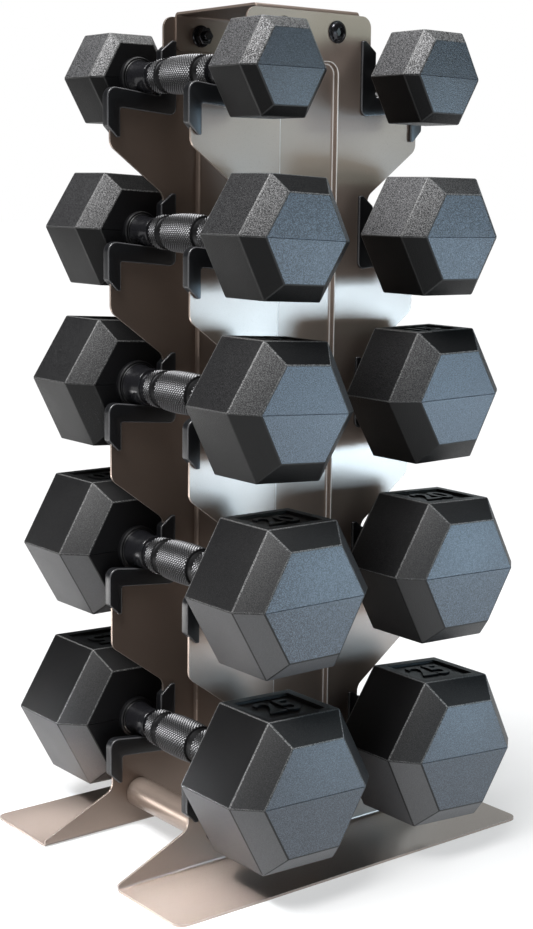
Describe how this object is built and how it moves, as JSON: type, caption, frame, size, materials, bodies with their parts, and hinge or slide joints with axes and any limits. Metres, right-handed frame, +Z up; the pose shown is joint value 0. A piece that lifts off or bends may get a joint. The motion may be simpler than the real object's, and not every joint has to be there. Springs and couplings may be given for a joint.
{
  "type": "dumbbell rack",
  "caption": "Narrow double-sided dumbbell rack: bent, stepped sheet plates with plastic-lined arms, holding hexagonal rubber dumbbells that lift off.",
  "frame": {"origin": "on the floor, under the middle of the rack", "axes": "+Z up, -Y is the front, X runs along the two plates; the dumbbells lie along Y"},
  "size_m": [0.364, 0.3422, 0.6835],
  "materials": {
    "rack_paint": "satin",
    "fastener": "black oxide",
    "insert": "satin",
    "cradle": "satin",
    "handle": "dark chrome, knurled grip",
    "head": "fine grain",
    "core": "as cast"
  },
  "bodies": {
    "rack": {"front_plate": "rack_paint", "back_plate": "rack_paint", "top_bracket": "rack_paint", "bottom_tube_left": "rack_paint", "bottom_tube_right": "rack_paint", "bracket_bolts": "fastener", "bracket_nuts": "fastener", "tube_bolts": "fastener", "tube_inserts": "insert", "cradle_pair_1_left": "cradle", "cradle_pair_2_left": "cradle", "cradle_pair_3_left": "cradle", "cradle_pair_4_left": "cradle", "cradle_pair_5_left": "cradle", "cradle_pair_1_right": "cradle", "cradle_pair_2_right": "cradle", "cradle_pair_3_right": "cradle", "cradle_pair_4_right": "cradle", "cradle_pair_5_right": "cradle"},
    "dumbbell_05_left": {"dumbbell_05_left_handle": "handle", "dumbbell_05_left_cores": "core", "dumbbell_05_left_front_head": "head", "dumbbell_05_left_back_head": "head"},
    "dumbbell_10_left": {"dumbbell_10_left_handle": "handle", "dumbbell_10_left_cores": "core", "dumbbell_10_left_front_head": "head", "dumbbell_10_left_back_head": "head"},
    "dumbbell_15_left": {"dumbbell_15_left_handle": "handle", "dumbbell_15_left_cores": "core", "dumbbell_15_left_front_head": "head", "dumbbell_15_left_back_head": "head"},
    "dumbbell_20_left": {"dumbbell_20_left_handle": "handle", "dumbbell_20_left_cores": "core", "dumbbell_20_left_front_head": "head", "dumbbell_20_left_back_head": "head"},
    "dumbbell_25_left": {"dumbbell_25_left_handle": "handle", "dumbbell_25_left_cores": "core", "dumbbell_25_left_front_head": "head", "dumbbell_25_left_back_head": "head"},
    "dumbbell_05_right": {"dumbbell_05_right_handle": "handle", "dumbbell_05_right_cores": "core", "dumbbell_05_right_front_head": "head", "dumbbell_05_right_back_head": "head"},
    "dumbbell_10_right": {"dumbbell_10_right_handle": "handle", "dumbbell_10_right_cores": "core", "dumbbell_10_right_front_head": "head", "dumbbell_10_right_back_head": "head"},
    "dumbbell_15_right": {"dumbbell_15_right_handle": "handle", "dumbbell_15_right_cores": "core", "dumbbell_15_right_front_head": "head", "dumbbell_15_right_back_head": "head"},
    "dumbbell_20_right": {"dumbbell_20_right_handle": "handle", "dumbbell_20_right_cores": "core", "dumbbell_20_right_front_head": "head", "dumbbell_20_right_back_head": "head"},
    "dumbbell_25_right": {"dumbbell_25_right_handle": "handle", "dumbbell_25_right_cores": "core", "dumbbell_25_right_front_head": "head", "dumbbell_25_right_back_head": "head"}
  },
  "joints": [
    {"name": "lift_05_left", "type": "slide", "parent": "rack", "child": "dumbbell_05_left", "axis": [-0.9397, 0, 0.342], "range_m": [0, 0.25]},
    {"name": "lift_10_left", "type": "slide", "parent": "rack", "child": "dumbbell_10_left", "axis": [-0.9397, 0, 0.342], "range_m": [0, 0.25]},
    {"name": "lift_15_left", "type": "slide", "parent": "rack", "child": "dumbbell_15_left", "axis": [-0.9397, 0, 0.342], "range_m": [0, 0.25]},
    {"name": "lift_20_left", "type": "slide", "parent": "rack", "child": "dumbbell_20_left", "axis": [-0.9397, 0, 0.342], "range_m": [0, 0.25]},
    {"name": "lift_25_left", "type": "slide", "parent": "rack", "child": "dumbbell_25_left", "axis": [-0.9397, 0, 0.342], "range_m": [0, 0.25]},
    {"name": "lift_05_right", "type": "slide", "parent": "rack", "child": "dumbbell_05_right", "axis": [0.9397, 0, 0.342], "range_m": [0, 0.25]},
    {"name": "lift_10_right", "type": "slide", "parent": "rack", "child": "dumbbell_10_right", "axis": [0.9397, 0, 0.342], "range_m": [0, 0.25]},
    {"name": "lift_15_right", "type": "slide", "parent": "rack", "child": "dumbbell_15_right", "axis": [0.9397, 0, 0.342], "range_m": [0, 0.25]},
    {"name": "lift_20_right", "type": "slide", "parent": "rack", "child": "dumbbell_20_right", "axis": [0.9397, 0, 0.342], "range_m": [0, 0.25]},
    {"name": "lift_25_right", "type": "slide", "parent": "rack", "child": "dumbbell_25_right", "axis": [0.9397, 0, 0.342], "range_m": [0, 0.25]}
  ]
}
